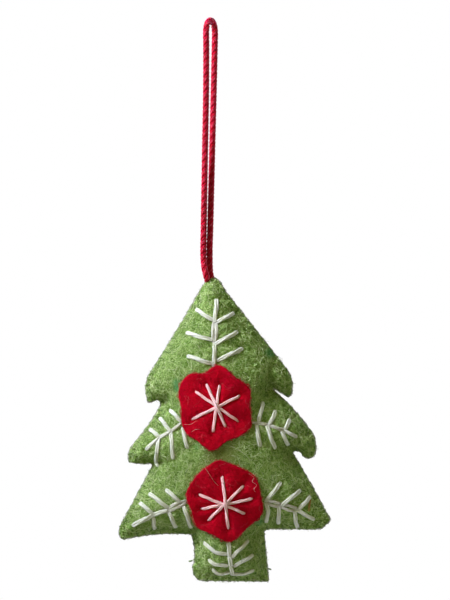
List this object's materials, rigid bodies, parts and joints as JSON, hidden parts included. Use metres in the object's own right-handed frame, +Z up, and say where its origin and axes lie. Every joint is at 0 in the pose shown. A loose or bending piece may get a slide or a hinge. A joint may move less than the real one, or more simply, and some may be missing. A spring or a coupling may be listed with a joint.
{
  "type": "felt christmas ornament",
  "caption": "Stuffed green felt Christmas tree with red felt flowers and white yarn embroidery, overcast along its edge and hung on a loop of red twisted cord.",
  "frame": {"origin": "inner top of the cord loop, where a hook or branch carries the ornament", "axes": "+Z up along the hanging cord, -Y towards the embroidered front, +X to the right seen from the front"},
  "size_m": [0.0868, 0.0303, 0.2271],
  "materials": {
    "felt_green": "matt wool felt with curly surface fibres",
    "felt_red": "matt crimson wool felt",
    "yarn_white": "soft off-white embroidery yarn",
    "thread_green": "green sewing thread",
    "fill_white": "loose white wool fill",
    "cord_red": "twisted two-ply cord with a slight sheen"
  },
  "bodies": {
    "hanger": {"hanging_cord": "cord_red"},
    "neck": {"cord_neck": "cord_red"},
    "tree": {"cord_knot": "cord_red", "front_felt_panel": "felt_green", "back_felt_panel": "felt_green", "wool_stuffing": "fill_white", "upper_flower": "felt_red", "lower_flower": "felt_red", "upper_star_yarn": "yarn_white", "lower_star_yarn": "yarn_white", "top_sprig_yarn": "yarn_white", "left_middle_sprig_yarn": "yarn_white", "right_middle_sprig_yarn": "yarn_white", "left_lower_sprig_yarn": "yarn_white", "right_lower_sprig_yarn": "yarn_white", "trunk_sprig_yarn": "yarn_white", "seam_thread": "thread_green"}
  },
  "joints": [
    {"name": "loop_twist", "type": "hinge", "parent": "hanger", "child": "neck", "pos_m": [-0.00175, 0, -0.09255], "axis": [0, 0, 1], "range_deg": [-180, 180]},
    {"name": "tree_swing", "type": "hinge", "parent": "neck", "child": "tree", "pos_m": [-0.00175, 0, -0.1003], "axis": [1, 0, 0], "range_deg": [-90, 90]}
  ]
}
